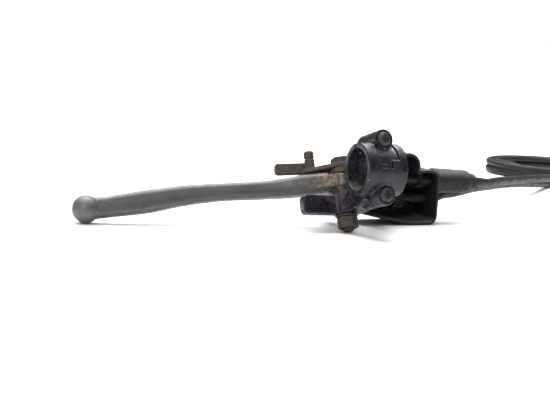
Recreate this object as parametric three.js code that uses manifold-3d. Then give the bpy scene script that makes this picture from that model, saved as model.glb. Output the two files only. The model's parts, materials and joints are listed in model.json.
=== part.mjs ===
// A motorcycle clutch lever on its handlebar perch, with a small parking lever on the same pivot,
// a rubber dust boot and the two control cables. Millimetres, +Z up, lying at rest on a flat surface.
// The perch is drawn in its own frame: the handlebar clamp's centre is the origin, +X runs inboard
// along the bar, +Y points away from the rider, and +Z runs up the pivot bolt.
import * as THREE from 'three';
import { mergeVertices } from 'three/addons/utils/BufferGeometryUtils.js';
import Module from 'manifold-3d';

const wasm = await Module();
wasm.setup();

// ---------- driving dimensions ----------
const gap = 0.3; // clearance between pieces that seat on each other
const degree = Math.PI / 180;

// The attitude in which the assembly lies: pitched nose down on its lever ball, bolt end and boot.
const restPitch = 24.3 * degree;
const restLean = 1.3 * degree;

// handlebar clamp
const barDiameter = 22.2;
const clampWidth = 23.2;
const clampWall = 3.1;
const clampSplit = 1.0;
const clampTilt = 8 * degree; // the clamp faces slightly below the lever's plane
const clampScrewSpacing = 29.6;
const clampScrewDiameter = 5;
const clampHeadDiameter = 8.3;
const clampHeadHeight = 3;
const clampBossDiameter = 11;
const clampBossReach = 10.2; // boss face, from the bore's axis
const clampLugDepth = 10; // threaded lug on the body's side
const recessFrom = -5; // saddle between the cap's flanges
const recessTo = 7;
const recessDepth = 1.5;

// lever pivot
const pivotX = -5.4;
const pivotY = 27.3;
const boltDiameter = 6;
const hexFlats = 10;
const boltHeadHeight = 3.6;
const leverThickness = 7.3;
const leverMiddle = 1.4; // height of the lever's middle plane
const bushingWall = 1.5;
const stopReach = 26.8;
const stopHeight = 10.4;
const upperEar = 2.9;
const lowerEar = 15;
const earRadius = 7.2;
const washerThickness = 1;
const nutHeight = 6;
const boltEnd = 1.5; // thread that stands out of the nut

// clutch lever
const cableArm = 28; // from the pivot to the clutch cable's nipple
const leverTravel = 22 * degree;
const nippleDiameter = 8;
const wireDiameter = 1.8;
const noseRadius = 7;
const ballDiameter = 15;

// parking lever
const plateThickness = 2.3;
const plateWidth = 10;
const parkingArm = 18;
const parkingTravel = 24 * degree;
const parkingNipple = 5;
const parkingWire = 1.5;
const pinDiameter = 5.7;
const pinHeight = 10.2;
const pinReach = 17.5;
const tabLength = 18;
const tabHeight = 6.4;
const tabThickness = 3;

// cable adjusters, cables and boot
const cableDiameter = 5.4;
const adjusterThread = 8;
const parkingThread = 6;
const adjusterWall = 1.3;
const bossLength = 14;
const ferruleLength = 10;
const bootWall = 1.8;
const sleeveLength = 25.3;

// ---------- shared working values ----------
const clampRadius = barDiameter / 2 + clampWall;
const leverTop = leverMiddle + leverThickness / 2;
const leverBottom = leverMiddle - leverThickness / 2;
const earTop = leverTop + gap + upperEar;
const lowerEarTop = leverBottom - gap;
const lowerEarBottom = lowerEarTop - lowerEar;
const plateBottom = earTop + gap;
const plateTop = plateBottom + plateThickness;

// ---------- small helpers ----------
const v = (x, y, z) => new THREE.Vector3(x, y, z);
const p = (x, y) => new THREE.Vector2(x, y);

// A closed geometry as a solid for joining and cutting.
function solid(geometry) {
  const bare = geometry.clone();
  for (const name of Object.keys(bare.attributes)) {
    if (name !== 'position') bare.deleteAttribute(name);
  }
  const merged = mergeVertices(bare, 1e-4);
  return new wasm.Manifold(new wasm.Mesh({
    numProp: 3,
    vertProperties: new Float32Array(merged.attributes.position.array),
    triVerts: new Uint32Array(merged.index.array),
  }));
}

function geometryOf(shape) {
  const mesh = shape.getMesh();
  const geometry = new THREE.BufferGeometry();
  const positions = new THREE.BufferAttribute(new Float32Array(mesh.vertProperties), 3);
  geometry.setAttribute('position', positions);
  geometry.setIndex(new THREE.BufferAttribute(new Uint32Array(mesh.triVerts), 1));
  geometry.computeVertexNormals();
  return geometry;
}

const join = (...parts) => geometryOf(parts.map(solid).reduce((sum, part) => sum.add(part)));
const cut = (body, ...tools) =>
  geometryOf(tools.map(solid).reduce((rest, tool) => rest.subtract(tool), solid(body)));
const overlap = (a, b) => geometryOf(solid(a).intersect(solid(b)));

// A round bar or cone between two points.
function rod(radius, from, to, sides = 24, endRadius = radius) {
  const run = to.clone().sub(from);
  const bar = new THREE.CylinderGeometry(endRadius, radius, run.length(), sides);
  bar.translate(0, run.length() / 2, 0);
  bar.applyQuaternion(new THREE.Quaternion().setFromUnitVectors(v(0, 1, 0), run.normalize()));
  return bar.translate(from.x, from.y, from.z);
}

// A round bar along Z, and a plate of any outline between two heights.
const post = (radius, x, y, bottom, top, sides = 24) => rod(radius, v(x, y, bottom), v(x, y, top), sides);
const hexPost = (flats, x, y, bottom, top) => post(flats / Math.sqrt(3), x, y, bottom, top, 6);
const alongX = (radius, y, z, from, to, sides = 24, endRadius = radius) =>
  rod(radius, v(from, y, z), v(to, y, z), sides, endRadius);

function box(x0, x1, y0, y1, z0, z1) {
  const block = new THREE.BoxGeometry(x1 - x0, y1 - y0, z1 - z0);
  return block.translate((x0 + x1) / 2, (y0 + y1) / 2, (z0 + z1) / 2);
}

function plate(outline, bottom, top, curveSegments = 10) {
  const shape = outline instanceof THREE.Shape ? outline : new THREE.Shape(outline);
  const slab = new THREE.ExtrudeGeometry(shape, { depth: top - bottom, bevelEnabled: false, curveSegments });
  return slab.translate(0, 0, bottom);
}

// A profile drawn in the YZ plane, extruded along X.
function sidePlate(outline, from, to, curveSegments = 10) {
  const slab = plate(outline, from, to, curveSegments);
  return slab.applyMatrix4(new THREE.Matrix4().makeBasis(v(0, 1, 0), v(0, 0, 1), v(1, 0, 0)));
}

// A bar with round ends of two radii between two plan points.
function link(a, radiusA, b, radiusB, bottom, top) {
  const heading = Math.atan2(b.y - a.y, b.x - a.x);
  const splay = Math.acos((radiusA - radiusB) / a.distanceTo(b));
  const shape = new THREE.Shape();
  shape.absarc(b.x, b.y, radiusB, heading - splay, heading + splay, false);
  shape.absarc(a.x, a.y, radiusA, heading + splay, heading - splay + 2 * Math.PI, false);
  return plate(shape, bottom, top, 14);
}

// A box with rounded vertical corners seen along its thickness.
function roundedRect(x0, y0, x1, y1, r) {
  const shape = new THREE.Shape();
  shape.moveTo(x0 + r, y0);
  shape.lineTo(x1 - r, y0);
  shape.absarc(x1 - r, y0 + r, r, -Math.PI / 2, 0, false);
  shape.lineTo(x1, y1 - r);
  shape.absarc(x1 - r, y1 - r, r, 0, Math.PI / 2, false);
  shape.lineTo(x0 + r, y1);
  shape.absarc(x0 + r, y1 - r, r, Math.PI / 2, Math.PI, false);
  shape.lineTo(x0, y0 + r);
  shape.absarc(x0 + r, y0 + r, r, Math.PI, Math.PI * 1.5, false);
  return shape;
}

// A closed skin through rings of equal point count, with flat ends.
function loft(rings) {
  const count = rings[0].length;
  const points = rings.flat();
  const faces = [];
  for (let i = 0; i + 1 < rings.length; i += 1) {
    for (let j = 0; j < count; j += 1) {
      const a = i * count + j;
      const b = i * count + ((j + 1) % count);
      faces.push(a, b, a + count, b, b + count, a + count);
    }
  }
  for (const end of [0, rings.length - 1]) {
    const centre = rings[end].reduce((sum, q) => sum.add(q), v(0, 0, 0)).divideScalar(count);
    const hub = points.push(centre) - 1;
    for (let j = 0; j < count; j += 1) {
      const a = end * count + j;
      const b = end * count + ((j + 1) % count);
      if (end === 0) faces.push(hub, b, a);
      else faces.push(hub, a, b);
    }
  }
  const geometry = new THREE.BufferGeometry().setFromPoints(points);
  geometry.setIndex(faces);
  geometry.computeVertexNormals();
  return geometry;
}

// ---------- handlebar clamp ----------
// Drawn in the clamp's frame and tilted about the bar afterwards.
const tilt = (geometry) => geometry.rotateX(clampTilt);
const screwHeights = [clampScrewSpacing / 2, -clampScrewSpacing / 2];

// The half ring on one side of the split: side -1 is the rider's cap, +1 the body.
function halfRing(side) {
  const ring = alongX(clampRadius, 0, 0, -clampWidth / 2, clampWidth / 2, 48);
  const reach = 2 * clampRadius;
  const inner = clampSplit / 2;
  const keep = side > 0
    ? box(-reach, reach, inner, reach, -reach, reach)
    : box(-reach, reach, -reach, -inner, -reach, reach);
  return overlap(ring, keep);
}

const bore = () => alongX(barDiameter / 2, 0, 0, -clampWidth, clampWidth, 48);
const alongY = (radius, x, z, from, to, sides = 24) => rod(radius, v(x, from, z), v(x, to, z), sides);

function clampCap() {
  const saddle = cut(
    alongX(2 * clampRadius, 0, 0, recessFrom, recessTo, 40),
    alongX(clampRadius - recessDepth, 0, 0, recessFrom - 1, recessTo + 1, 48),
    box(recessFrom - 1, recessTo + 1, -3 * clampRadius, 3 * clampRadius, -3 * clampRadius, 3),
  );
  // The pocket under the saddle's lower end, with a small tab left standing in it.
  const pocket = cut(
    box(recessFrom + 0.6, recessTo - 4.2, -2 * clampRadius, -clampRadius + 2.6, -1.6, 4.4),
    box(recessFrom + 1.3, recessFrom + 5.4, -clampRadius + 0.7, 0, -2, 0.9),
  );
  const ring = cut(halfRing(-1), saddle, pocket);
  const bosses = screwHeights.map((z) => join(
    alongY(clampBossDiameter / 2, 0, z, -clampBossReach, -clampSplit / 2),
    box(-clampBossDiameter / 2, clampBossDiameter / 2, -clampBossReach + 3, -clampSplit / 2,
      Math.min(z, Math.sign(z) * 9), Math.max(z, Math.sign(z) * 9)),
  ));
  const tools = screwHeights.flatMap((z) => [
    alongY(clampScrewDiameter / 2 + gap, 0, z, -2 * clampBossReach, 1),
    alongY(clampHeadDiameter / 2 + gap, 0, z, -2 * clampBossReach, -clampBossReach + 1.6),
  ]);
  return tilt(cut(join(ring, ...bosses), bore(), ...tools));
}

function clampScrew(z) {
  const seat = -clampBossReach + 1.6 - gap;
  const headRadius = clampHeadDiameter / 2;
  const dome = new THREE.LatheGeometry([
    p(0, 0), p(headRadius, 0), p(headRadius, clampHeadHeight * 0.35),
    p(headRadius * 0.86, clampHeadHeight * 0.75), p(headRadius * 0.5, clampHeadHeight), p(0, clampHeadHeight),
  ], 28).rotateX(Math.PI).translate(0, seat, z);
  const crossSlot = [0, 90].map((turn) =>
    new THREE.BoxGeometry(4.6, 2.4, 0.9).rotateY(turn * degree).translate(0, seat - clampHeadHeight, z));
  const shank = alongY(clampScrewDiameter / 2, 0, z, seat - 0.5, clampLugDepth, 18);
  return tilt(cut(join(dome, shank), ...crossSlot));
}

// ---------- perch body ----------
const adjusterY = pivotY + cableArm * Math.cos(leverTravel / 4);
const parkingY = pivotY + parkingArm * Math.cos(parkingTravel / 4);
const parkingZ = plateBottom + plateThickness / 2;
const clutchBossFrom = 16;
const parkingBossFrom = 24;

function perchBody() {
  const lugs = screwHeights.map((z) => join(
    alongY(clampBossDiameter / 2, 0, z, clampSplit / 2, clampLugDepth),
    box(-clampBossDiameter / 2, clampBossDiameter / 2, clampSplit / 2, clampLugDepth,
      Math.min(z, Math.sign(z) * 6), Math.max(z, Math.sign(z) * 6)),
  ));
  const clamp = tilt(join(halfRing(1), ...lugs));

  // The fork seen from the side: two ears with the lever's slot between them.
  const tip = pivotY + earRadius;
  const throat = pivotY - earRadius - 1.2;
  const fork = sidePlate([
    p(2, -15.5), p(8, -17), p(throat, lowerEarBottom), p(tip, lowerEarBottom),
    p(tip, lowerEarTop), p(throat, lowerEarTop), p(throat, leverTop + gap), p(tip, leverTop + gap),
    p(tip, earTop), p(throat - 1, earTop), p(8, earTop + 1.2), p(4, earTop),
  ], pivotX - earRadius - 1, 14);
  const forkPlan = join(
    post(earRadius, pivotX, pivotY, -40, 40, 40),
    plate([
      p(-7.5, 3), p(5, 3), p(4, 20), p(pivotX + earRadius, pivotY), p(pivotX - earRadius, pivotY),
      p(-8, 18),
    ], -40, 40),
  );
  // The stop lug that stands outboard of the lower ear, under the lever.
  const stopLug = sideBar(pivotX - stopReach, pivotX - 3, pivotY - 2.6, pivotY + 3, lowerEarBottom,
    lowerEarBottom + stopHeight);
  // The inboard arm that carries the cable abutments.
  const arm = plate([
    p(2, 8), p(11, 4), p(19, 14), p(clutchBossFrom + bossLength, 40), p(clutchBossFrom + bossLength, adjusterY),
    p(clutchBossFrom, adjusterY), p(clutchBossFrom - 1, 42), p(8, 24),
  ], leverMiddle - 6, leverMiddle + 5);
  const clutchBoss = alongX(6.6, adjusterY, leverMiddle, clutchBossFrom, clutchBossFrom + bossLength, 28);
  const parkingBoss = join(
    alongX(5.4, parkingY, parkingZ, parkingBossFrom, parkingBossFrom + bossLength - 4, 28),
    box(parkingBossFrom, parkingBossFrom + 6, parkingY - 4.4, parkingY + 4.4, leverMiddle, parkingZ),
  );
  const solidBody = join(clamp, overlap(fork, forkPlan), stopLug, arm, clutchBoss, parkingBoss);
  const drill = screwHeights.map((z) => tilt(alongY(clampScrewDiameter / 2 + gap, 0, z, -1, clampLugDepth + 1)));
  return cut(
    solidBody,
    bore(),
    tilt(box(-40, 40, -40, clampSplit / 2, -40, 40)),
    ...drill,
    post(boltDiameter / 2 + gap, pivotX, pivotY, -40, 40, 28),
    alongX(adjusterThread / 2 + gap, adjusterY, leverMiddle, 0, 60),
    alongX(parkingThread / 2 + gap, parkingY, parkingZ, 0, 60),
  );
}

function sideBar(x0, x1, y0, y1, z0, z1) {
  const face = roundedRect(x0, z0, x1, z1, 2.4);
  const bar = plate(face, -y1, -y0, 5);
  return bar.rotateX(Math.PI / 2);
}

// ---------- pivot hardware ----------
const washerTop = lowerEarBottom - gap;
const nutTop = washerTop - washerThickness - gap;
const boltTip = nutTop - nutHeight - boltEnd;

const pivotBolt = () => join(
  post(boltDiameter / 2, pivotX, pivotY, boltTip, plateTop + gap + 1, 24),
  hexPost(hexFlats, pivotX, pivotY, plateTop + gap, plateTop + gap + boltHeadHeight),
);

function nut(top, height) {
  return cut(
    hexPost(hexFlats, pivotX, pivotY, top - height, top),
    post(boltDiameter / 2 + gap, pivotX, pivotY, top - height - 1, top + 1, 24),
  );
}

const washer = () => cut(
  post(5.9, pivotX, pivotY, washerTop - washerThickness, washerTop, 28),
  post(boltDiameter / 2 + gap, pivotX, pivotY, washerTop - washerThickness - 1, washerTop + 1, 24),
);

const bushingRadius = boltDiameter / 2 + gap + bushingWall;
const bushing = () => cut(
  post(bushingRadius, pivotX, pivotY, leverBottom, leverTop, 28),
  post(boltDiameter / 2 + gap, pivotX, pivotY, leverBottom - 1, leverTop + 1, 24),
);

// ---------- clutch lever ----------
// Where a nipple stands at rest: half the travel inboard of straight ahead, so the wire stays in line.
function nippleAt(arm, travel) {
  return p(pivotX + arm * Math.sin(travel / 2), pivotY + arm * Math.cos(travel / 2));
}
const clutchNipple = nippleAt(cableArm, leverTravel);
const parkingNippleAt = nippleAt(parkingArm, parkingTravel);

// The blade's middle line from the knuckle out to the ball, from the pivot, with its width and height.
const bladeKnots = [
  { at: [-5.2, 4.1, 2.35], width: 13, height: 11.6 },
  { at: [-17.5, 13.2, 2.35], width: 13.5, height: 11.6 },
  { at: [-25, 17.6, 2.2], width: 12, height: 11 },
  { at: [-38, 21.4, 1.6], width: 10.6, height: 9.9 },
  { at: [-60, 24.2, 0.8], width: 9.6, height: 9.6 },
  { at: [-82, 26.4, -1], width: 9.2, height: 11 },
  { at: [-104, 29.4, -4.2], width: 9.4, height: 12.6 },
  { at: [-124, 32.6, -6.5], width: 9.2, height: 11.4 },
  { at: [-136.3, 34.4, -7.55], width: 9.6, height: 11.4 },
];

function superellipse(width, height, squareness, count) {
  const ring = [];
  for (let i = 0; i < count; i += 1) {
    const turn = (2 * Math.PI * i) / count;
    const c = Math.cos(turn);
    const s = Math.sin(turn);
    ring.push(p(
      (width / 2) * Math.sign(c) * Math.abs(c) ** (2 / squareness),
      (height / 2) * Math.sign(s) * Math.abs(s) ** (2 / squareness),
    ));
  }
  return ring;
}

function blade() {
  const line = new THREE.CatmullRomCurve3(bladeKnots.map((k) => v(...k.at)));
  const size = new THREE.CatmullRomCurve3(bladeKnots.map((k) => v(k.width, k.height, 0)));
  const steps = 34;
  const rings = [];
  for (let i = 0; i <= steps; i += 1) {
    const centre = line.getPoint(i / steps);
    const along = line.getTangent(i / steps).setZ(0).normalize();
    const across = v(-along.y, along.x, 0);
    const { x: width, y: height } = size.getPoint(i / steps);
    rings.push(superellipse(width, height, 3, 20).map((q) =>
      centre.clone().addScaledVector(across, q.x).add(v(pivotX, pivotY, q.y))));
  }
  return loft(rings);
}

function leverBall() {
  const r = ballDiameter / 2;
  const last = bladeKnots[bladeKnots.length - 1].at;
  const before = bladeKnots[bladeKnots.length - 2].at;
  const profile = [];
  for (let i = 0; i <= 12; i += 1) {
    const turn = (Math.PI * i) / 12;
    profile.push(p(r * Math.sin(turn), -r * Math.cos(turn)));
  }
  // A shallow dimple in the flattened end.
  profile.pop();
  profile.push(p(r * 0.24, r * 0.93), p(r * 0.12, r * 0.86), p(0, r * 0.85));
  profile[0].x = 0;
  const ball = new THREE.LatheGeometry(profile, 24);
  const heading = Math.atan2(last[1] - before[1], last[0] - before[0]);
  return ball.rotateZ(heading - Math.PI / 2).translate(pivotX + last[0], pivotY + last[1], last[2]);
}

// The wedge that a wire sweeps about its nipple while the arm turns through its travel.
function wireSweep(centre, travel, width, bottom, top, reach) {
  const side = width / 2;
  const turn = travel;
  const outline = [
    p(0, side), p(reach, side), p(reach, -side),
    p(reach * Math.cos(turn) - side * Math.sin(turn), -reach * Math.sin(turn) - side * Math.cos(turn)),
    p(-side * Math.sin(turn), -side * Math.cos(turn)),
  ].map((q) => p(q.x + centre.x, q.y + centre.y));
  return plate(outline.reverse(), bottom, top);
}

function clutchLever() {
  const pivot = p(pivotX, pivotY);
  const hub = post(earRadius, pivotX, pivotY, leverBottom, leverTop, 40);
  const nose = link(pivot, earRadius - 1.2, clutchNipple, noseRadius, leverBottom, leverTop);
  const knuckle = link(pivot, 7, p(pivotX - 14, pivotY + 10.6), 6.6, leverBottom, leverTop);
  // The blade's thick root stops short of the ears.
  const root = cut(blade(), cut(
    post(earRadius + 1, pivotX, pivotY, -40, 60, 40),
    post(earRadius + 2, pivotX, pivotY, leverBottom, leverTop, 40),
  ));
  const body = join(hub, nose, knuckle, root, leverBall());
  return cut(
    body,
    post(bushingRadius + gap, pivotX, pivotY, -20, 20, 32),
    post(nippleDiameter / 2 + gap, clutchNipple.x, clutchNipple.y, -20, 20, 28),
    wireSweep(clutchNipple, leverTravel, wireDiameter + 1, leverMiddle - 1.4, leverMiddle + 1.4, 16),
  );
}

// ---------- parking lever ----------
const pinAt = p(pivotX - pinReach * 0.8, pivotY + pinReach * 0.6);
const tabHeading = 12 * degree;

function parkingPlate() {
  const pivot = p(pivotX, pivotY);
  const body = join(
    link(pivot, 7.4, pinAt, plateWidth / 2, plateBottom, plateTop),
    link(pivot, 6.6, parkingNippleAt, 5, plateBottom, plateTop),
    parkingTab(),
  );
  return cut(
    body,
    post(boltDiameter / 2 + gap, pivotX, pivotY, 0, 40, 28),
    post(pinDiameter / 2 - 0.6 + gap, pinAt.x, pinAt.y, 0, 40, 24),
    post(parkingNipple / 2 + gap, parkingNippleAt.x, parkingNippleAt.y, 0, 40, 24),
    wireSweep(parkingNippleAt, parkingTravel, parkingWire + 0.8, plateBottom - 1, plateTop + 1, 12),
  );
}

function parkingPin() {
  const r = pinDiameter / 2;
  const foot = plateBottom + 0.2;
  const base = plateTop + gap;
  const groove = base + pinHeight * 0.58;
  const profile = [
    p(0, foot), p(r - 0.6, foot), p(r - 0.6, base), p(r, base), p(r, groove - 0.5), p(r - 0.5, groove - 0.25),
    p(r - 0.5, groove + 0.25), p(r, groove + 0.5), p(r, base + pinHeight - 0.6), p(r - 0.6, base + pinHeight),
    p(0, base + pinHeight),
  ];
  return new THREE.LatheGeometry(profile, 24).rotateX(Math.PI / 2).translate(pinAt.x, pinAt.y, 0);
}

function parkingTab() {
  const face = roundedRect(-tabLength, 0, 4, tabHeight, 1.8);
  const bar = plate(face, -tabThickness / 2, tabThickness / 2, 5).rotateX(Math.PI / 2);
  return bar.rotateZ(-tabHeading).translate(pinAt.x, pinAt.y + plateWidth / 2, plateBottom + 1.2);
}

// ---------- cable ends, adjusters ----------
function cableEnd(at, diameter, height, wire, middle, reach) {
  return join(
    post(diameter / 2, at.x, at.y, middle - height / 2, middle + height / 2, 24),
    alongX(wire / 2, at.y, middle, at.x, reach, 12),
  );
}

const wheelRing = (radius, teeth, depth) => {
  const shape = new THREE.Shape();
  const steps = teeth * 2;
  for (let i = 0; i < steps; i += 1) {
    const r = i % 2 ? radius : radius - depth;
    const turn = (2 * Math.PI * (i + 0.25)) / steps;
    const next = (2 * Math.PI * (i + 0.75)) / steps;
    if (i === 0) shape.moveTo(r * Math.cos(turn), r * Math.sin(turn));
    else shape.lineTo(r * Math.cos(turn), r * Math.sin(turn));
    shape.lineTo(r * Math.cos(next), r * Math.sin(next));
  }
  return shape;
};

// A grooved thumb wheel along X.
function wheel(radius, teeth, depth, y, z, from, to) {
  return sidePlate(wheelRing(radius, teeth, depth), from, to).translate(0, y, z);
}

function adjusterBarrel(y, z, thread, from, headFrom, headTo, headRadius, cable) {
  return cut(
    join(
      alongX(thread / 2, y, z, from, headFrom + 1, 24),
      wheel(headRadius, 16, 0.9, y, z, headFrom, headTo),
    ),
    alongX(thread / 2 - adjusterWall, y, z, from - 1, headTo + 1, 20),
    alongX(cable / 2 + 0.7 + 2 * gap, y, z, headTo - 4, headTo + 1, 24),
  );
}

function lockRing(y, z, thread, from, to, radius) {
  return cut(
    wheel(radius, 12, 1, y, z, from, to),
    alongX(thread / 2 + gap, y, z, from - 1, to + 1, 24),
  );
}

const clutchBossTo = clutchBossFrom + bossLength;
const parkingBossTo = parkingBossFrom + bossLength - 4;
const ferruleSeat = 3.4; // how deep a ferrule stands in its adjuster
const clutchWheel = { from: clutchBossTo + 10, to: clutchBossTo + 17 };
const parkingWheel = { from: parkingBossTo + 18.4, to: parkingBossTo + 22.6, radius: 4.6 };

const parkingFerruleEnd = parkingWheel.to - ferruleSeat + ferruleLength;

function ferrule(y, z, from, length) {
  return cut(
    join(
      alongX(cableDiameter / 2 + 0.7, y, z, from, from + length, 24),
      alongX(cableDiameter / 2 + 1.3, y, z, from + 3.8, from + 5.4, 24),
    ),
    alongX(wireDiameter / 2 + 0.8, y, z, from - 1, from + 2, 16),
    alongX(cableDiameter / 2 + gap, y, z, from + 1.6, from + length + 1, 24),
  );
}

// ---------- the assembly ----------
const castBlack = new THREE.MeshStandardMaterial({ color: 0x2a2d33, roughness: 0.55, metalness: 0.5 });
const castGrey = new THREE.MeshStandardMaterial({ color: 0x6f7174, roughness: 0.5, metalness: 0.6 });
const rustySteel = new THREE.MeshStandardMaterial({ color: 0x5b3c30, roughness: 0.85, metalness: 0.4 });
const darkSteel = new THREE.MeshStandardMaterial({ color: 0x3b3a3c, roughness: 0.6, metalness: 0.7 });
const screwSteel = new THREE.MeshStandardMaterial({ color: 0x6b6862, roughness: 0.45, metalness: 0.8 });
const brass = new THREE.MeshStandardMaterial({ color: 0x8a7440, roughness: 0.6, metalness: 0.8 });
const rubber = new THREE.MeshStandardMaterial({ color: 0x26262a, roughness: 0.85, metalness: 0 });
const wireSteel = new THREE.MeshStandardMaterial({ color: 0x8c8c88, roughness: 0.4, metalness: 0.9 });

const assembly = new THREE.Group();
function add(name, geometry, material, parent = assembly) {
  const mesh = new THREE.Mesh(geometry, material);
  mesh.name = name;
  parent.add(mesh);
}

add('perch_body', perchBody(), castBlack);
add('clamp_cap', clampCap(), castBlack);
add('clamp_screw_upper', clampScrew(screwHeights[0]), screwSteel);
add('clamp_screw_lower', clampScrew(screwHeights[1]), screwSteel);
add('pivot_bolt', pivotBolt(), rustySteel);
add('pivot_washer', washer(), rustySteel);
add('pivot_nut', nut(nutTop, nutHeight), rustySteel);
add('lever_bushing', bushing(), brass);
add('clutch_lever', clutchLever(), castGrey);
add('parking_lever', parkingPlate(), rustySteel);
add('parking_pin', parkingPin(), rustySteel);
add('clutch_wire_end', cableEnd(clutchNipple, nippleDiameter, leverThickness - 0.6, wireDiameter, leverMiddle,
  clutchWheel.to - 6), wireSteel);
add('parking_wire_end', cableEnd(parkingNippleAt, parkingNipple, 5, parkingWire, parkingZ,
  parkingWheel.to - 6), wireSteel);
add('clutch_adjuster', adjusterBarrel(adjusterY, leverMiddle, adjusterThread, clutchBossFrom - 2,
  clutchWheel.from, clutchWheel.to, 6.2, cableDiameter), darkSteel);
add('clutch_lock_ring', lockRing(adjusterY, leverMiddle, adjusterThread, clutchBossTo + 3, clutchBossTo + 6.5, 6.8),
  darkSteel);
add('parking_adjuster', adjusterBarrel(parkingY, parkingZ, parkingThread, parkingBossFrom - 1,
  parkingWheel.from, parkingWheel.to, parkingWheel.radius, cableDiameter), darkSteel);
add('parking_lock_ring', lockRing(parkingY, parkingZ, parkingThread, parkingBossTo + 2, parkingBossTo + 5, 5.4),
  darkSteel);
add('clutch_ferrule', ferrule(adjusterY, leverMiddle, clutchWheel.to - ferruleSeat, ferruleLength), darkSteel);
add('parking_ferrule', ferrule(parkingY, parkingZ, parkingWheel.to - ferruleSeat, ferruleLength), darkSteel);

// ---------- the attitude at rest ----------
// Everything that lies on the surface is drawn level, from the clamp's centre, with the surface below it.
const rest = new THREE.Euler(-restPitch, restLean, 0, 'YXZ');
const toLevel = new THREE.Matrix4().makeRotationFromEuler(rest);
const toPerch = toLevel.clone().invert();
assembly.rotation.copy(rest);
const object = new THREE.Group();
object.add(assembly);
object.updateMatrixWorld(true);
const surface = new THREE.Box3().setFromObject(object, true).min.z;

// ---------- dust boot ----------
const mouthY = 36.8;
const bootDepth = 25.6;
const bootRight = 64.4;
const bootLeft = 12;

// The boot's outline from the rider's side, drawn in by an inset for the inner wall: a flat bottom that
// rises outboard, a tall hump over the parking cable's boss and a low one over its thumb wheel.
function bootOutline(inset) {
  const wheel = level(parkingWheel.from, parkingY, parkingZ);
  const hump = { x: wheel.x - 9.4, z: wheel.z + 8.4, radius: 7.9 };
  const lowTop = wheel.z + parkingWheel.radius + gap + bootWall;
  const shoulder = 6;
  const edge = 3;
  const valleyX = 49.6;
  const corner = 5;
  const floor = surface + gap + inset;
  const outline = new THREE.Shape();
  outline.moveTo(bootLeft + (inset ? -3 : 0), -29.5 + inset);
  outline.lineTo(44, floor);
  outline.lineTo(bootRight - corner, floor);
  outline.absarc(bootRight - corner, floor - inset + corner, corner - inset, -Math.PI / 2, 0, false);
  outline.absarc(bootRight - shoulder, lowTop - shoulder, shoulder - inset, 0, Math.PI / 2, false);
  outline.absarc(valleyX + edge, lowTop - edge, edge - inset, Math.PI / 2, Math.PI * 0.85, false);
  outline.lineTo(valleyX, lowTop - 1.5 - inset);
  outline.absarc(hump.x, hump.z, hump.radius - inset, -20 * degree, 140 * degree, false);
  outline.lineTo(bootLeft + (inset ? -3 : 0), -6 - inset);
  return outline;
}

function boot() {
  const level = (inset, from, to) => {
    const block = plate(bootOutline(inset), -to, -from, 12);
    return block.rotateX(Math.PI / 2).applyMatrix4(toPerch);
  };
  const sleeveFrom = bootRight - 1.5;
  const taperTo = bootRight + sleeveLength - 3;
  const lipTo = bootRight + sleeveLength + 3;
  const shell = cut(
    level(0, mouthY, mouthY + bootDepth),
    level(bootWall, mouthY - 5, mouthY + bootDepth - bootWall),
  );
  const sleeve = join(
    alongX(7.4, parkingY, parkingZ, sleeveFrom, taperTo, 28, 6.7),
    alongX(6.7, parkingY, parkingZ, taperTo, taperTo + 2, 28, 5.4),
    alongX(5.3, parkingY, parkingZ, taperTo + 1, lipTo, 28, 4.6),
  );
  return cut(
    join(shell, sleeve),
    alongX(cableDiameter / 2 + 0.7 + gap, parkingY, parkingZ, sleeveFrom - 2, parkingFerruleEnd + gap, 28),
    alongX(cableDiameter / 2 + 2 * gap, parkingY, parkingZ, sleeveFrom - 2, lipTo + 2, 24),
    alongX(cableDiameter / 2 + 2 * gap, adjusterY, leverMiddle, sleeveFrom - 4, bootRight + 8, 24),
  );
}

// ---------- control cables ----------
// Drawn level, from the clamp's centre. A cable leaves its ferrule straight along the bar, runs back
// across the surface and winds into its coil; a short tail leads to the far fitting.
const cableRadius = cableDiameter / 2;
const onSurface = surface + cableRadius + 0.05;
const coilCentre = p(326, 277);
const coilTurns = 2;
const coilInner = 43;
const layer = cableDiameter + gap;

function level(x, y, z) {
  return v(x, y, z).applyMatrix4(toLevel);
}

function tube(points, radius, sides, steps) {
  const section = new THREE.Shape();
  section.absarc(0, 0, radius, 0, 2 * Math.PI, false);
  section.autoClose = true;
  const ring = new THREE.Shape(section.getSpacedPoints(sides).slice(0, sides));
  const path = new THREE.CatmullRomCurve3(points, false, 'centripetal');
  return new THREE.ExtrudeGeometry(ring, { steps, bevelEnabled: false, extrudePath: path });
}

// The solid that a coil's turns fill: turns side by side, one layer high.
function coil(bottom) {
  const outer = coilInner + coilTurns * layer;
  const top = bottom + cableDiameter;
  const soft = 1.6;
  const ring = new THREE.LatheGeometry([
    p(coilInner, bottom + soft), p(coilInner + soft, bottom), p(outer - soft, bottom), p(outer, bottom + soft),
    p(outer, top - soft), p(outer - soft, top), p(coilInner + soft, top), p(coilInner, top - soft),
    p(coilInner, bottom + soft),
  ], 48);
  return ring.rotateX(Math.PI / 2).translate(coilCentre.x, coilCentre.y, 0);
}

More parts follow.
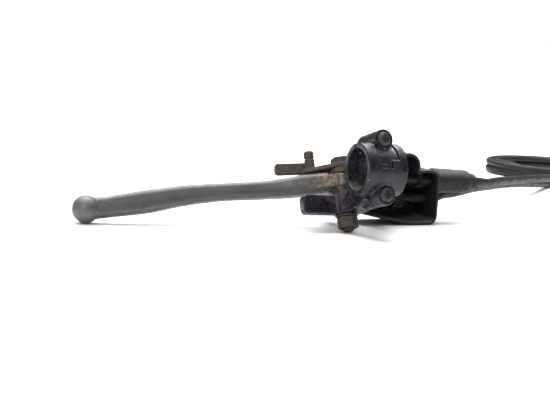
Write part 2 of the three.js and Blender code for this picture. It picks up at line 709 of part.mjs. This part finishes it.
const clutchCableStart = clutchWheel.to - ferruleSeat + 2;
const parkingCableStart = parkingWheel.to - ferruleSeat + 2;
const clutchRoute = [
  level(clutchCableStart, adjusterY, leverMiddle), level(57, adjusterY, leverMiddle),
  level(65, adjusterY, leverMiddle), v(70, 51.2, -22.4), v(76, 53, -20.9), v(87.3, 58.5, -20.7),
  v(98.8, 65.5, -20.3), v(112.5, 75, -20), v(128.8, 88, -20.8), v(148, 104, -22.1), v(169, 121, -23.4),
  v(197, 144, -25.9),
  v(231, 171, -29.6), v(267, 201, onSurface), v(300, 213.5, onSurface), v(336, 220.5, onSurface),
];
const parkingRoute = [
  level(parkingCableStart, parkingY, parkingZ), level(75, parkingY, parkingZ), level(86, parkingY, parkingZ),
  level(96, parkingY, parkingZ), v(104.5, 49, -13.1), v(121, 60, -13.5), v(140, 74, -14.7), v(166, 94, -16.5),
  v(194.5, 116, -18.6), v(215, 132, -20.3), v(245, 155, -23), v(275, 178, -26.2), v(304, 199, -27.6),
  v(331, 215.3, -27.6), v(354.7, 227.3, onSurface + layer),
];

const fittingRadius = cableRadius + 0.9;

// A far fitting: a crimped ferrule, and the bare wire with its nipple.
function endFerrule(from, heading, height) {
  return alongX(fittingRadius, 0, 0, 0, 12, 20).rotateZ(heading).translate(from.x, from.y, height);
}

function endWire(from, heading, height, wire) {
  const reach = 20;
  const nipple = post(3, reach, 0, -2.6, 2.6, 20);
  return join(alongX(wire / 2, 0, 0, 12 + gap, reach, 12), nipple).rotateZ(heading)
    .translate(from.x, from.y, height);
}

const ground = new THREE.Group();
add('rubber_boot', boot(), rubber);
add('clutch_cable', tube(clutchRoute, cableRadius, 10, 40), rubber, ground);
add('clutch_coil', coil(surface + 0.05), rubber, ground);
add('parking_cable', tube(parkingRoute, cableRadius, 10, 40), rubber, ground);
add('parking_coil', coil(surface + layer), rubber, ground);

// A tail leaves its coil's inner turn on the tangent at an angle, and curls inward down to the surface.
const tailBend = 28;
const tailSweep = 70 * degree;
function tail(name, angle, height, wire) {
  const start = coilInner - cableRadius - 1.5 * gap;
  const fittingHeight = surface + fittingRadius + 0.05;
  const points = [];
  const steps = 8;
  for (let i = 0; i <= steps; i += 1) {
    const turn = (tailSweep * i) / steps;
    const ease = (1 - Math.cos((Math.PI * i) / steps)) / 2;
    points.push(v(start - tailBend + tailBend * Math.cos(turn), tailBend * Math.sin(turn), 0)
      .applyAxisAngle(v(0, 0, 1), angle)
      .add(v(coilCentre.x, coilCentre.y, height + (fittingHeight - height) * ease)));
  }
  add(`${name}_tail`, tube(points, cableRadius, 10, 10), rubber, ground);
  const heading = angle + Math.PI / 2 + tailSweep;
  const fitting = points[steps].clone().addScaledVector(v(Math.cos(heading), Math.sin(heading), 0), 2 * gap);
  add(`${name}_end_ferrule`, endFerrule(fitting, heading, fittingHeight), darkSteel, ground);
  add(`${name}_end_wire`, endWire(fitting, heading, fittingHeight, wire), wireSteel, ground);
}
tail('clutch', -95 * degree, onSurface, wireDiameter);
tail('parking', -185 * degree, onSurface + layer, parkingWire);

object.updateMatrixWorld(true);

// The origin is under the middle of the rigid assembly's box.
const bounds = new THREE.Box3().setFromObject(object, true);
const part = new THREE.Group();
part.add(object, ground);
part.position.set(-(bounds.min.x + bounds.max.x) / 2, -(bounds.min.y + bounds.max.y) / 2, -bounds.min.z);

export default part;
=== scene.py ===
"""A used motorcycle clutch lever on its perch, with its dust boot and two control cables, on a pale floor."""

import json
import math

import bmesh
import bpy
from mathutils import Matrix, Vector

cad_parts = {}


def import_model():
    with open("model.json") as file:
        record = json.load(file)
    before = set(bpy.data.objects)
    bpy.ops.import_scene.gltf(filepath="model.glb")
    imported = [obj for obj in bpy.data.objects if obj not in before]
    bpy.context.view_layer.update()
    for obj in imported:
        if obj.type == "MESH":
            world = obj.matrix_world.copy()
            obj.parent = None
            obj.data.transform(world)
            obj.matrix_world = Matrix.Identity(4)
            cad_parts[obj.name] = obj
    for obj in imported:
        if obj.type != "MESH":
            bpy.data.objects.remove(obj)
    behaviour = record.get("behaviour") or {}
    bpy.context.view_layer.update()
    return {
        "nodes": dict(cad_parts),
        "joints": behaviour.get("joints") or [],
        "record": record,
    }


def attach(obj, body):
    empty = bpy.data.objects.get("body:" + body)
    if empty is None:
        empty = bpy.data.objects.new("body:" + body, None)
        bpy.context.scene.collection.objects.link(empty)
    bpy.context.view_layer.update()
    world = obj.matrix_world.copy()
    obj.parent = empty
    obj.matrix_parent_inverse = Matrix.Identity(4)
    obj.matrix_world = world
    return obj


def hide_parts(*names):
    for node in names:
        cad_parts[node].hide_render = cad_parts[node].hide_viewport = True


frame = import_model()
MM = 0.001
nodes = frame["nodes"]


# ---------- the perch's own frame ----------
def joint(name):
    return next(j for j in frame["joints"] if j["name"] == name)


def unit(values):
    return Vector(values).normalized()


PIVOT_AXIS = unit(joint("clutch_pull")["axis"])
BAR_AXIS = unit(joint("clutch_adjuster_turn")["axis"])
FORWARD = PIVOT_AXIS.cross(BAR_AXIS)
PIVOT = Vector(joint("clutch_pull")["pos_m"])
PIVOT_IN_PERCH = Vector((-5.4, 27.3, 1.4))
PERCH_TURN = Matrix((BAR_AXIS, FORWARD, PIVOT_AXIS)).transposed()
CLAMP = PIVOT - PERCH_TURN @ (PIVOT_IN_PERCH * MM)


def perch(x, y, z):
    """A point of the perch's frame, in millimetres, where it lies in the row frame."""
    return CLAMP + PERCH_TURN @ (Vector((x, y, z)) * MM)


def ground(x, y, z):
    """A point measured level from the clamp's centre, in millimetres."""
    return CLAMP + Vector((x, y, z)) * MM


# ---------- camera ----------
# Lengths in millimetres, angles in degrees.
LENS = 81.8
SENSOR = 36
DISTANCE = 665
AIM_LEFT = 53.7  # how far left of the clamp's centre the camera looks
AIM_BELOW = 19.5
AZIMUTH, ELEVATION, ROLL = -25.1, 8.0, 3.6


def camera():
    turn, height, roll = math.radians(AZIMUTH), math.radians(ELEVATION), math.radians(ROLL)
    back = Vector((math.sin(turn) * math.cos(height), -math.cos(turn) * math.cos(height), math.sin(height)))
    flat = Vector((math.cos(turn), math.sin(turn), 0))
    right = math.cos(roll) * flat + math.sin(roll) * back.cross(flat)
    up = back.cross(right)
    eye = CLAMP + (back * DISTANCE - right * AIM_LEFT - up * AIM_BELOW) * MM
    data = bpy.data.cameras.new("camera")
    data.sensor_width = SENSOR
    data.lens = LENS
    data.clip_start = 0.01
    cam = bpy.data.objects.new("camera", data)
    cam.matrix_world = Matrix.Translation(eye) @ Matrix((right, up, back)).transposed().to_4x4()
    bpy.context.scene.collection.objects.link(cam)
    bpy.context.scene.camera = cam


camera()


# ---------- making meshes ----------
def mesh_object(name, points, faces):
    data = bpy.data.meshes.new(name)
    data.from_pydata([tuple(q) for q in points], [], faces)
    data.validate()
    data.polygons.foreach_set("use_smooth", [True] * len(data.polygons))
    obj = bpy.data.objects.new(name, data)
    bpy.context.scene.collection.objects.link(obj)
    return obj


def frames_along(line):
    """A tangent and two steady cross directions at every point of a line."""
    side = None
    made = []
    for i, point in enumerate(line):
        ahead = line[min(i + 1, len(line) - 1)] - line[max(i - 1, 0)]
        ahead.normalize()
        if side is None:
            side = ahead.orthogonal().normalized()
        side = (side - ahead * side.dot(ahead)).normalized()
        made.append((point, side, ahead.cross(side)))
    return made


def tube(name, line, radius, sides):
    """A closed round tube along a line."""
    points, faces = [], []
    for centre, across, over in frames_along(line):
        for k in range(sides):
            turn = 2 * math.pi * k / sides
            points.append(centre + across * (radius * math.cos(turn)) + over * (radius * math.sin(turn)))
    for i in range(len(line) - 1):
        for k in range(sides):
            a, b = i * sides + k, i * sides + (k + 1) % sides
            faces.append((a, b, b + sides, a + sides))
    faces.append(tuple(range(sides))[::-1])
    faces.append(tuple(range(len(points) - sides, len(points))))
    return mesh_object(name, points, faces)


SPAN_POINTS = 24  # points worked out between two knots of a line


def smooth_line(knots, step):
    """A centripetal Catmull-Rom curve through the knots, in even steps."""
    ends = [2 * knots[0] - knots[1]] + list(knots) + [2 * knots[-1] - knots[-2]]
    fine = []
    for p0, p1, p2, p3 in zip(ends, ends[1:], ends[2:], ends[3:]):
        t0 = 0.0
        t1 = t0 + (p1 - p0).length ** 0.5
        t2 = t1 + (p2 - p1).length ** 0.5
        t3 = t2 + (p3 - p2).length ** 0.5
        for k in range(SPAN_POINTS):
            t = t1 + (t2 - t1) * k / SPAN_POINTS
            a1 = p0 * ((t1 - t) / (t1 - t0)) + p1 * ((t - t0) / (t1 - t0))
            a2 = p1 * ((t2 - t) / (t2 - t1)) + p2 * ((t - t1) / (t2 - t1))
            a3 = p2 * ((t3 - t) / (t3 - t2)) + p3 * ((t - t2) / (t3 - t2))
            b1 = a1 * ((t2 - t) / (t2 - t0)) + a2 * ((t - t0) / (t2 - t0))
            b2 = a2 * ((t3 - t) / (t3 - t1)) + a3 * ((t - t1) / (t3 - t1))
            fine.append(b1 * ((t2 - t) / (t2 - t1)) + b2 * ((t - t1) / (t2 - t1)))
    fine.append(knots[-1].copy())
    return even(fine, step)


def even(line, step):
    """The same line with its points a fixed step apart."""
    made, spare = [line[0].copy()], 0.0
    for a, b in zip(line, line[1:]):
        run = (b - a).length
        at = step - spare
        while at <= run:
            made.append(a.lerp(b, at / run))
            at += step
        spare = run - (at - step)
    if (line[-1] - made[-1]).length > step * 0.3:
        made.append(line[-1].copy())
    else:
        made[-1] = line[-1].copy()
    return made


# ---------- control cables ----------
SURFACE = -CLAMP.z / MM
CABLE_RADIUS = 2.7
LAYER = 2 * CABLE_RADIUS + 0.3
ON_SURFACE = SURFACE + CABLE_RADIUS + 0.25
COIL = Vector((326, 277))
COIL_INNER = 43
COIL_TURNS = 2
TAIL_BEND = 28
TAIL_SWEEP = math.radians(70)
FITTING_RADIUS = CABLE_RADIUS + 0.9
FITTING_HEIGHT = SURFACE + FITTING_RADIUS + 0.05

# Each cable leaves its adjuster in line with its nipple at a quarter of the lever's travel.
CABLE_ARM, LEVER_TRAVEL = 28, math.radians(22)
PARKING_ARM, PARKING_TRAVEL = 18, math.radians(24)
CLUTCH_HEIGHT = PIVOT_IN_PERCH.z
CLUTCH_Y = PIVOT_IN_PERCH.y + CABLE_ARM * math.cos(LEVER_TRAVEL / 4)
PARKING_HEIGHT = 9.7
PARKING_Y = PIVOT_IN_PERCH.y + PARKING_ARM * math.cos(PARKING_TRAVEL / 4)

clutch_start = [
    perch(45.6, CLUTCH_Y, CLUTCH_HEIGHT), perch(57, CLUTCH_Y, CLUTCH_HEIGHT),
    perch(65, CLUTCH_Y, CLUTCH_HEIGHT),
    ground(70, 51.2, -22.4), ground(76, 53, -20.9), ground(87.3, 58.5, -20.7), ground(98.8, 65.5, -20.3),
    ground(112.5, 75, -20), ground(128.8, 88, -20.8), ground(148, 104, -22.1), ground(169, 121, -23.4),
    ground(197, 144, -25.9), ground(231, 171, -29.6), ground(267, 201, ON_SURFACE),
    ground(300, 213.5, ON_SURFACE),
]
parking_start = [
    perch(55.2, PARKING_Y, PARKING_HEIGHT), perch(75, PARKING_Y, PARKING_HEIGHT),
    perch(86, PARKING_Y, PARKING_HEIGHT), perch(96, PARKING_Y, PARKING_HEIGHT), ground(104.5, 49, -13.1),
    ground(121, 60, -13.5), ground(140, 74, -14.7), ground(166, 94, -16.5), ground(194.5, 116, -18.6),
    ground(215, 132, -20.3), ground(245, 155, -23), ground(275, 178, -26.2), ground(304, 199, -27.6),
]


def coiled(start, entry, leave, height):
    """The cable's line: its free run, the turns from the outer lane to the inner one, and the inward tail."""
    outer = COIL_INNER + (COIL_TURNS - 0.5) * LAYER
    inner = COIL_INNER + LAYER / 2
    tail_start = COIL_INNER - CABLE_RADIUS - 0.45
    knots = list(start)
    lanes = [
        (entry, outer + LAYER), (entry + 32, outer), (entry + 345, outer), (entry + 390, inner),
        (leave - 30, inner), (leave, tail_start),
    ]
    angle = entry
    while angle < leave:
        for (a, low), (b, high) in zip(lanes, lanes[1:]):
            if a <= angle <= b:
                share = (angle - a) / (b - a)
                radius = low + (high - low) * (1 - math.cos(math.pi * share)) / 2
        turn = math.radians(angle)
        knots.append(ground(COIL.x + radius * math.cos(turn), COIL.y + radius * math.sin(turn), height))
        angle += 15
    for i in range(9):
        turn = TAIL_SWEEP * i / 8
        ease = (1 - math.cos(math.pi * i / 8)) / 2
        local = Vector((tail_start - TAIL_BEND + TAIL_BEND * math.cos(turn), TAIL_BEND * math.sin(turn)))
        local.rotate(Matrix.Rotation(math.radians(leave), 2))
        knots.append(ground(COIL.x + local.x, COIL.y + local.y, height + (FITTING_HEIGHT - height) * ease))
    return smooth_line(knots, 2 * MM)


def cable(name, line):
    piece = tube(name, line, CABLE_RADIUS * MM, 18)
    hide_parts(f"{name}_cable", f"{name}_coil", f"{name}_tail")
    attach(piece, "perch")
    return piece


clutch_line = coiled(clutch_start, -80, 625, ON_SURFACE)
parking_line = coiled(parking_start, -60, 535, ON_SURFACE + LAYER)
clutch_cable = cable("clutch", clutch_line)
parking_cable = cable("parking", parking_line)


# ---------- materials ----------
class Shader:
    """A principled material under construction, whose textures all read object coordinates."""

    def __init__(self, name, roughness, metallic=0.0, specular=0.5):
        self.material = bpy.data.materials.new(name)
        self.material.use_nodes = True
        self.tree = self.material.node_tree
        self.shader = self.tree.nodes["Principled BSDF"]
        self.shader.inputs["Metallic"].default_value = metallic
        self.shader.inputs["Roughness"].default_value = roughness
        self.shader.inputs["Specular IOR Level"].default_value = specular
        self.place = self.node("ShaderNodeTexCoord").outputs["Object"]
        self.colour = None
        self.height = None

    def node(self, kind, **settings):
        made = self.tree.nodes.new(kind)
        for key, value in settings.items():
            setattr(made, key, value)
        return made

    def link(self, source, target):
        self.tree.links.new(source, target)

    def noise(self, size_mm, detail=6, roughness=0.6, stretch=(1, 1, 1)):
        """Noise whose features are about size_mm across, from 0 to 1."""
        mapping = self.node("ShaderNodeMapping")
        mapping.inputs["Scale"].default_value = stretch
        self.link(self.place, mapping.inputs["Vector"])
        noise = self.node("ShaderNodeTexNoise")
        noise.inputs["Scale"].default_value = 1 / (size_mm * MM)
        noise.inputs["Detail"].default_value = detail
        noise.inputs["Roughness"].default_value = roughness
        self.link(mapping.outputs["Vector"], noise.inputs["Vector"])
        return noise.outputs["Fac"]

    def ramp(self, value, low, high, out_low=0.0, out_high=1.0):
        span = self.node("ShaderNodeMapRange", interpolation_type="SMOOTHSTEP")
        for key, number in zip(("From Min", "From Max", "To Min", "To Max"), (low, high, out_low, out_high)):
            span.inputs[key].default_value = number
        self.link(value, span.inputs["Value"])
        return span.outputs["Result"]

    def times(self, a, b):
        product = self.node("ShaderNodeMath", operation="MULTIPLY")
        self.link(a, product.inputs[0])
        if isinstance(b, float):
            product.inputs[1].default_value = b
        else:
            self.link(b, product.inputs[1])
        return product.outputs[0]

    def base(self, dark, light, size_mm, stretch=(1, 1, 1)):
        """The ground colour: two tones in soft patches."""
        mix = self.node("ShaderNodeMixRGB")
        mix.inputs["Color1"].default_value = (*dark, 1)
        mix.inputs["Color2"].default_value = (*light, 1)
        self.link(self.ramp(self.noise(size_mm, stretch=stretch), 0.32, 0.68), mix.inputs["Fac"])
        self.colour = mix.outputs["Color"]

    def over(self, mask, colour):
        """A colour laid over what is there, where the mask is 1."""
        mix = self.node("ShaderNodeMixRGB")
        mix.inputs["Color2"].default_value = (*colour, 1)
        self.link(self.colour, mix.inputs["Color1"])
        self.link(mask, mix.inputs["Fac"])
        self.colour = mix.outputs["Color"]

    def edges(self, low=0.52, high=0.6):
        """A mask on the convex edges."""
        return self.ramp(self.node("ShaderNodeNewGeometry").outputs["Pointiness"], low, high)

    # A mask on the concave hollows; the finishes use it to paint shade in.
    def hollows(self, low=0.5, high=0.42):
        return self.ramp(self.node("ShaderNodeNewGeometry").outputs["Pointiness"], high, low, 1.0, 0.0)

    def upward(self, low=0.3, high=0.9):
        """A mask on the faces that look up, where dust settles."""
        split = self.node("ShaderNodeSeparateXYZ")
        self.link(self.node("ShaderNodeNewGeometry").outputs["Normal"], split.inputs[0])
        return self.ramp(split.outputs["Z"], low, high)

    def near(self, point, inner_mm, outer_mm):
        """A mask that fades from 1 within inner_mm of a point to 0 at outer_mm."""
        distance = self.node("ShaderNodeVectorMath", operation="DISTANCE")
        distance.inputs[1].default_value = point
        self.link(self.place, distance.inputs[0])
        return self.ramp(distance.outputs["Value"], inner_mm * MM, outer_mm * MM, 1.0, 0.0)

    def gloss(self, size_mm, low, high):
        self.link(self.ramp(self.noise(size_mm), 0.3, 0.7, low, high), self.shader.inputs["Roughness"])

    def relief(self, size_mm, depth_mm, stretch=(1, 1, 1), strength=0.6):
        bump = self.node("ShaderNodeBump")
        bump.inputs["Strength"].default_value = strength
        bump.inputs["Distance"].default_value = depth_mm * MM
        self.link(self.noise(size_mm, 8, 0.65, stretch), bump.inputs["Height"])
        if self.height is not None:
            self.link(self.height, bump.inputs["Normal"])
        self.height = bump.outputs["Normal"]

    def done(self):
        self.link(self.colour, self.shader.inputs["Base Color"])
        if self.height is not None:
            self.link(self.height, self.shader.inputs["Normal"])
        return self.material


BALL = min((vertex.co for vertex in nodes["clutch_lever"].data.vertices), key=lambda place: place.x).copy()
DARK_RUST = (0.05, 0.026, 0.018)
DUST = (0.33, 0.31, 0.28)


def cast_black():
    """Satin black paint over a cast alloy, rubbed through along its edges, with painted shade in the corners.
    """
    m = Shader("cast_black", 0.35, metallic=0.1, specular=0.33)
    m.base((0.004, 0.0046, 0.0075), (0.012, 0.0135, 0.0195), 9)
    m.over(m.times(m.edges(0.565, 0.64), m.ramp(m.noise(2.2), 0.38, 0.6, 0.15, 1.0)), (0.3, 0.31, 0.33))
    # Painted shade: the hollows are darkened in the colour.
    m.over(m.times(m.hollows(0.49, 0.44), 0.8), (0.012, 0.01, 0.009))
    m.over(m.times(m.ramp(m.noise(1.3), 0.68, 0.73), 0.6), (0.16, 0.16, 0.165))
    m.over(m.times(m.near(PIVOT, 7, 19), m.ramp(m.noise(3.4), 0.4, 0.58)), (0.062, 0.042, 0.034))
    m.over(m.times(m.near(PIVOT, 10, 24), m.ramp(m.noise(2.2), 0.45, 0.62, 0.0, 0.7)), (0.07, 0.063, 0.06))
    m.over(m.times(m.upward(0.55, 1.0), m.ramp(m.noise(5), 0.4, 0.7, 0.1, 0.6)), DUST)
    m.gloss(3.5, 0.2, 0.4)
    m.relief(1.1, 0.12)
    m.relief(5, 0.35, strength=0.4)
    return m.done()


def worn_alloy():
    """Dull grey cast aluminium, darkened and scuffed along the blade, oily brown round the pivot."""
    m = Shader("worn_alloy", 0.45, metallic=0.45)
    along = (0.25, 1, 1)
    m.base((0.05, 0.048, 0.049), (0.08, 0.079, 0.079), 9, along)
    m.over(m.times(m.ramp(m.noise(2.2, stretch=(0.35, 1, 1)), 0.6, 0.72), 0.3), (0.13, 0.128, 0.124))
    dark_streaks = m.ramp(m.noise(4.5, stretch=(0.5, 1, 1)), 0.3, 0.38, 1.0, 0.0)
    m.over(m.times(dark_streaks, 0.4), (0.034, 0.033, 0.033))
    m.over(m.times(m.edges(0.53, 0.62), 0.35), (0.24, 0.24, 0.235))
    m.over(m.times(m.upward(0.55, 1.0), m.ramp(m.noise(8), 0.3, 0.7, 0.2, 0.6)), (0.17, 0.168, 0.162))
    # Lighter alloy round the ball end: wear, with a painted highlight on the ball.
    m.over(m.times(m.near(BALL, 6, 17), 0.5), (0.13, 0.128, 0.124))
    m.over(m.times(m.near(PIVOT, 14, 32), m.ramp(m.noise(3), 0.36, 0.6)), (0.05, 0.04, 0.033))
    m.over(m.times(m.near(PIVOT, 9, 22), m.ramp(m.noise(1.8), 0.51, 0.58)), (0.16, 0.115, 0.06))
    m.gloss(4, 0.36, 0.6)
    m.relief(0.7, 0.06)
    m.relief(6, 0.4, along, 0.35)
    return m.done()


def rusty_steel():
    """Plated steel that has rusted and soaked up oil."""
    m = Shader("rusty_steel", 0.7, metallic=0.25)
    m.base((0.024, 0.02, 0.019), (0.058, 0.047, 0.042), 5)
    m.over(m.ramp(m.noise(3.2), 0.46, 0.62), (0.045, 0.03, 0.024))
    m.over(m.times(m.ramp(m.noise(1.5), 0.56, 0.66), 0.7), (0.085, 0.045, 0.027))
    m.over(m.times(m.edges(0.53, 0.62), m.ramp(m.noise(1.6), 0.45, 0.6)), (0.2, 0.18, 0.165))
    # Painted shade: near-black laid into the hollows.
    m.over(m.hollows(0.49, 0.44), (0.012, 0.009, 0.008))
    m.over(m.times(m.upward(0.6, 1.0), m.ramp(m.noise(4), 0.4, 0.65, 0.1, 0.7)), (0.14, 0.125, 0.115))
    m.gloss(1.8, 0.55, 0.85)
    m.relief(0.8, 0.14)
    return m.done()


def screw_steel():
    m = Shader("screw_steel", 0.5, metallic=0.6)
    m.base((0.02, 0.02, 0.02), (0.05, 0.049, 0.048), 2)
    m.over(m.times(m.edges(0.53, 0.6), 0.6), (0.24, 0.235, 0.23))
    # Painted shade: the slots and hollows of the screws are filled with black.
    m.over(m.hollows(0.495, 0.46), (0.004, 0.004, 0.004))
    m.over(m.times(m.ramp(m.noise(1), 0.58, 0.68), 0.6), DARK_RUST)
    m.gloss(1.2, 0.35, 0.65)
    m.relief(0.5, 0.05)
    return m.done()


def dark_steel():
    m = Shader("dark_steel", 0.5, metallic=0.7)
    m.base((0.005, 0.0045, 0.0045), (0.016, 0.015, 0.014), 2.5)
    m.over(m.times(m.edges(0.54, 0.64), 0.4), (0.1, 0.095, 0.09))
    m.over(m.times(m.ramp(m.noise(2), 0.55, 0.68), 0.5), DARK_RUST)
    m.gloss(1.5, 0.35, 0.65)
    m.relief(0.5, 0.05)
    return m.done()


def bushing_brass():
    m = Shader("bushing_brass", 0.5, metallic=0.8)
    m.base((0.2, 0.13, 0.06), (0.36, 0.25, 0.11), 2)
    m.gloss(1.5, 0.35, 0.6)
    m.relief(0.5, 0.04)
    return m.done()


def boot_rubber():
    """Aged black rubber, with pale dust on what looks up and a wiped, wrinkled face."""
    m = Shader("boot_rubber", 0.6, specular=0.25)
    m.base((0.006, 0.0057, 0.0075), (0.012, 0.0115, 0.0145), 8)
    m.over(m.times(m.upward(0.2, 0.95), m.ramp(m.noise(6), 0.25, 0.65, 0.3, 0.9)), (0.12, 0.115, 0.112))
    m.over(m.times(m.edges(0.54, 0.62), m.ramp(m.noise(3), 0.4, 0.6, 0.1, 0.5)), (0.07, 0.067, 0.065))
    m.over(m.times(m.ramp(m.noise(1.4), 0.62, 0.7), 0.3), (0.07, 0.068, 0.066))
    m.gloss(4, 0.5, 0.75)
    m.relief(1.2, 0.08)
    m.relief(9, 0.5, strength=0.35)
    return m.done()


def cable_vinyl():
    """Satin black sheath with dust along its top and scuffs."""
    m = Shader("cable_vinyl", 0.4, specular=0.25)
    m.base((0.009, 0.009, 0.011), (0.016, 0.0155, 0.018), 12)
    m.over(m.times(m.upward(0.35, 1.0), m.ramp(m.noise(7), 0.3, 0.7, 0.0, 0.15)), (0.1, 0.097, 0.094))
    m.over(m.times(m.ramp(m.noise(1.2), 0.64, 0.7), 0.35), (0.12, 0.117, 0.114))
    m.gloss(5, 0.4, 0.65)
    m.relief(2, 0.05)
    return m.done()


def wire_steel():
    """Stranded steel wire: fine ridges across it, dull with oil."""
    m = Shader("wire_steel", 0.45, metallic=0.85)
    m.base((0.14, 0.13, 0.12), (0.34, 0.33, 0.31), 0.8)
    m.gloss(1, 0.35, 0.6)
    m.relief(0.35, 0.08, (3, 1, 1))
    return m.done()


FINISHES = {made.__name__: made() for made in (
    cast_black, worn_alloy, rusty_steel, screw_steel, dark_steel, bushing_brass, boot_rubber, cable_vinyl,
    wire_steel,
)}
SLOT_OF = {row["node"]: row["material_slot"] for row in frame["record"]["subparts"]}
BODY_OF = {node: body for body, names in frame["record"]["behaviour"]["bodies"].items() for node in names}


def paint(obj, slot):
    obj.data.materials.clear()
    obj.data.materials.append(FINISHES[slot])


for name, node in nodes.items():
    for slot in node.material_slots:
        slot.material = FINISHES[SLOT_OF[name]]
paint(clutch_cable, "cable_vinyl")
paint(parking_cable, "cable_vinyl")


# ---------- cast and moulded surfaces ----------
def softened(node, voxel_mm, rounds):
    """A fine copy of a CAD node with its edges rounded off, as casting, moulding and wear leave them."""
    mesh = bmesh.new()
    mesh.from_mesh(nodes[node].data)
    bmesh.ops.remove_doubles(mesh, verts=mesh.verts, dist=1e-6)
    data = bpy.data.meshes.new(f"{node}_fine")
    mesh.to_mesh(data)
    mesh.free()
    piece = bpy.data.objects.new(f"{node}_fine", data)
    bpy.context.scene.collection.objects.link(piece)
    remesh = piece.modifiers.new("remesh", "REMESH")
    remesh.mode = "VOXEL"
    remesh.voxel_size = voxel_mm * MM
    smooth = piece.modifiers.new("smooth", "SMOOTH")
    smooth.factor = 0.5
    smooth.iterations = rounds
    ready = piece.evaluated_get(bpy.context.evaluated_depsgraph_get())
    piece.modifiers.clear()
    old, piece.data = piece.data, bpy.data.meshes.new_from_object(ready)
    bpy.data.meshes.remove(old)
    piece.data.polygons.foreach_set("use_smooth", [True] * len(piece.data.polygons))
    paint(piece, SLOT_OF[node])
    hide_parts(node)
    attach(piece, BODY_OF[node])
    return piece


SOFTENED = {
    "perch_body": (0.4, 8), "clamp_cap": (0.35, 8), "clutch_lever": (0.5, 8), "rubber_boot": (0.45, 10),
    "parking_lever": (0.3, 6), "parking_pin": (0.2, 5), "pivot_bolt": (0.25, 5), "pivot_nut": (0.25, 5),
    "pivot_washer": (0.22, 4), "clamp_screw_upper": (0.16, 4), "clamp_screw_lower": (0.16, 4),
    "clutch_adjuster": (0.25, 3), "parking_adjuster": (0.25, 3), "clutch_lock_ring": (0.25, 3),
    "parking_lock_ring": (0.25, 3), "clutch_ferrule": (0.25, 4), "parking_ferrule": (0.25, 4),
    "clutch_end_ferrule": (0.25, 4), "parking_end_ferrule": (0.25, 4),
}
fine = {node: softened(node, *how) for node, how in SOFTENED.items()}


HOLE_SPAN = 30  # the hole lies within this length of the cable's start


def close_round(piece, line, snug_mm, reach_mm):
    """Draw the rubber of a hole in to a cable's surface, as a moulded boot fits it."""
    inner, outer = snug_mm * MM, reach_mm * MM
    start = line[0]
    heading = (line[1] - start).normalized()
    for vertex in piece.data.vertices:
        along = (vertex.co - start).dot(heading)
        if along < 0 or along > HOLE_SPAN * MM:
            continue
        middle = start + along * heading
        out = vertex.co - middle
        if inner < out.length < outer:
            vertex.co = middle + out.normalized() * inner


close_round(fine["rubber_boot"], clutch_start, CABLE_RADIUS + 0.05, CABLE_RADIUS + 0.95)


# ---------- floor and light ----------
def floor():
    """A pale floor that glows white far from the object."""
    data = bpy.data.meshes.new("floor")
    half = 60
    corners = [(-half, -half, 0), (half, -half, 0), (half, half, 0), (-half, half, 0)]
    data.from_pydata(corners, [], [(0, 1, 2, 3)])
    obj = bpy.data.objects.new("floor", data)
    bpy.context.scene.collection.objects.link(obj)
    m = Shader("floor", 0.6, specular=0.2)
    m.base((0.9, 0.9, 0.9), (0.93, 0.93, 0.93), 400)
    m.shader.inputs["Emission Color"].default_value = (1, 1, 1, 1)
    m.link(m.ramp(m.near((0, 0, 0), 450, 1100), 0, 1, 0.6, 0.0), m.shader.inputs["Emission Strength"])
    data.materials.append(m.done())


def area_light(name, place, aim, size, power):
    data = bpy.data.lights.new(name, "AREA")
    data.shape = "SQUARE"
    data.size = size
    data.energy = power
    obj = bpy.data.objects.new(name, data)
    obj.location = place
    obj.rotation_euler = (Vector(aim) - Vector(place)).to_track_quat("-Z", "Y").to_euler()
    bpy.context.scene.collection.objects.link(obj)


def world():
    """White all round, brightest overhead; the camera sees plain white."""
    sky = bpy.data.worlds.new("studio")
    sky.use_nodes = True
    tree = sky.node_tree
    background = tree.nodes["Background"]
    split = tree.nodes.new("ShaderNodeSeparateXYZ")
    span = tree.nodes.new("ShaderNodeMapRange")
    coordinates = tree.nodes.new("ShaderNodeTexCoord")
    path = tree.nodes.new("ShaderNodeLightPath")
    brightest = tree.nodes.new("ShaderNodeMath")
    brightest.operation = "MAXIMUM"
    for key, number in (("From Min", 0.0), ("From Max", 1.0), ("To Min", 0.12), ("To Max", 0.85)):
        span.inputs[key].default_value = number
    tree.links.new(coordinates.outputs["Generated"], split.inputs[0])
    tree.links.new(split.outputs["Z"], span.inputs["Value"])
    tree.links.new(span.outputs["Result"], brightest.inputs[0])
    tree.links.new(path.outputs["Is Camera Ray"], brightest.inputs[1])
    tree.links.new(brightest.outputs[0], background.inputs["Strength"])
    background.inputs["Color"].default_value = (1, 1, 1, 1)
    bpy.context.scene.world = sky


floor()
world()
area_light("overhead", (0.0, 0.5, 1.5), (0.0, 0.05, 0), 1.6, 62)
area_light("front", (-1.0, -1.1, 1.0), (0.0, 0.0, 0.03), 0.7, 12)
bpy.context.scene.view_settings.view_transform = "Standard"
